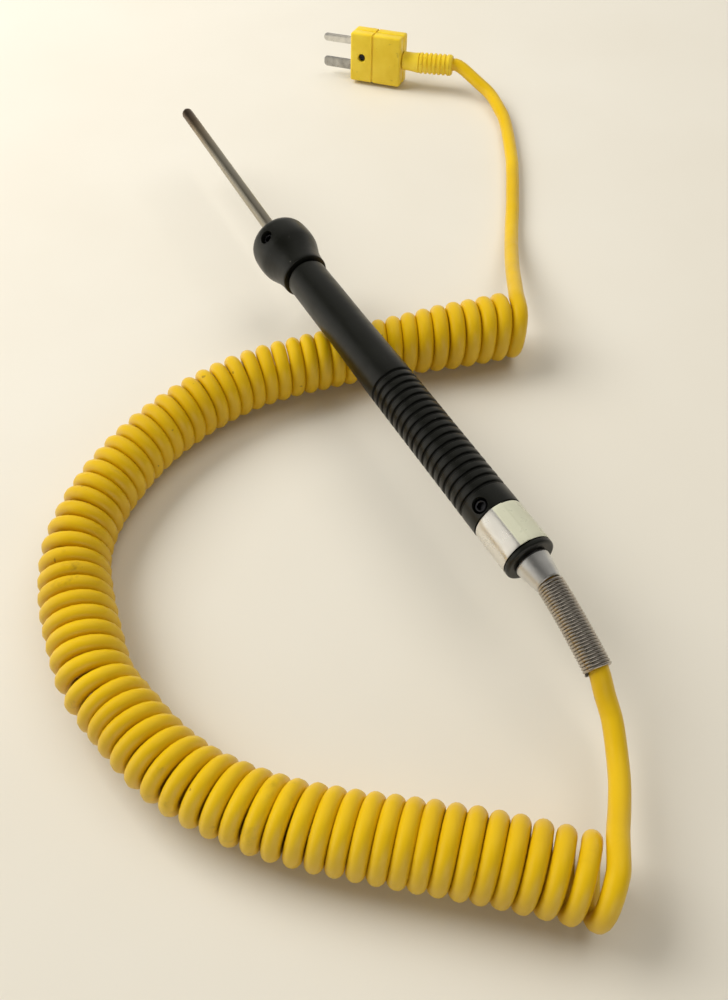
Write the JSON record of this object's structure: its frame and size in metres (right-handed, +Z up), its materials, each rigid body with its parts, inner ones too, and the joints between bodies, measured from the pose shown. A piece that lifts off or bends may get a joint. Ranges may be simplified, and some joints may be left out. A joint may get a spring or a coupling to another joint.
{
  "type": "hand-held thermocouple probe",
  "caption": "Slim temperature probe: a closed steel sheath in a black turned handle with a finger stop, on a curly yellow cord with a flat two-blade plug.",
  "frame": {"origin": "on the handle's axis, at the middle of the probe's length from the sheath's tip to the end of the cone behind the handle", "axes": "+Y along the handle towards the sheath's tip, +Z up; the object lies on a table with the handle resting across its own coiled cord"},
  "size_m": [0.1944, 0.2759, 0.0278],
  "materials": {
    "sheath_steel": "bright drawn tube, heat tinted brown at the tip",
    "chromel": "bright",
    "alumel": "bright",
    "ceramic": "unglazed",
    "brass": "turned",
    "black_plastic": "turned and satin",
    "dark_steel": "blackened",
    "label_foil": "silvered foil",
    "satin_aluminium": "turned satin",
    "spring_steel": "bright wire",
    "plated_steel": "nickel plated",
    "yellow_cord": "smooth satin jacket",
    "yellow_plastic": "moulded",
    "red_plastic": "smooth insulation"
  },
  "bodies": {
    "probe": {"sheath": "sheath_steel", "hot_junction_bead": "chromel", "insulator_rod": "ceramic", "thermocouple_wire_positive": "chromel", "thermocouple_wire_negative": "alumel", "splice_positive": "brass", "splice_negative": "brass", "sheath_bush": "brass", "front_collar": "black_plastic", "handle_tube": "black_plastic", "label_band": "label_foil", "end_bush": "black_plastic", "cord_cone": "satin_aluminium", "cone_nut": "brass", "bend_spring": "spring_steel", "cord_inner_end": "yellow_plastic", "cord_crimp_ring": "satin_aluminium", "cord_core_positive": "yellow_plastic", "cord_core_negative": "red_plastic", "cord_lead": "yellow_cord", "cord_coil": "yellow_cord", "cord_tail": "yellow_cord", "plug_cover": "yellow_plastic", "plug_base": "yellow_plastic", "plug_blade_positive": "chromel", "plug_blade_negative": "alumel", "plug_strain_relief": "yellow_plastic", "plug_core_positive": "yellow_plastic", "plug_core_negative": "red_plastic"},
    "collar_set_screw_body": {"collar_set_screw": "dark_steel"},
    "handle_set_screw_body": {"handle_set_screw": "dark_steel"},
    "plug_cover_screw_body": {"plug_cover_screw": "plated_steel"},
    "terminal_screw_positive_body": {"terminal_screw_positive": "plated_steel"},
    "terminal_screw_negative_body": {"terminal_screw_negative": "plated_steel"}
  },
  "joints": [
    {"name": "collar_set_screw_turn", "type": "hinge", "parent": "probe", "child": "collar_set_screw_body", "pos_m": [0, 0.0195, 0], "axis": [-0.6225, 0, 0.7826], "continuous": true},
    {"name": "handle_set_screw_turn", "type": "hinge", "parent": "probe", "child": "handle_set_screw_body", "pos_m": [0, -0.0757, 0], "axis": [-0.6225, 0, 0.7826], "continuous": true},
    {"name": "plug_cover_screw_turn", "type": "hinge", "parent": "probe", "child": "plug_cover_screw_body", "pos_m": [0.07615, 0.11807, -0.01163], "axis": [0.7417, 0.6562, -0.1392], "continuous": true},
    {"name": "terminal_screw_positive_turn", "type": "hinge", "parent": "probe", "child": "terminal_screw_positive_body", "pos_m": [0.08021, 0.11432, -0.0077], "axis": [0.7417, 0.6562, -0.1392], "continuous": true},
    {"name": "terminal_screw_negative_turn", "type": "hinge", "parent": "probe", "child": "terminal_screw_negative_body", "pos_m": [0.07938, 0.11359, -0.01556], "axis": [0.7417, 0.6562, -0.1392], "continuous": true}
  ]
}
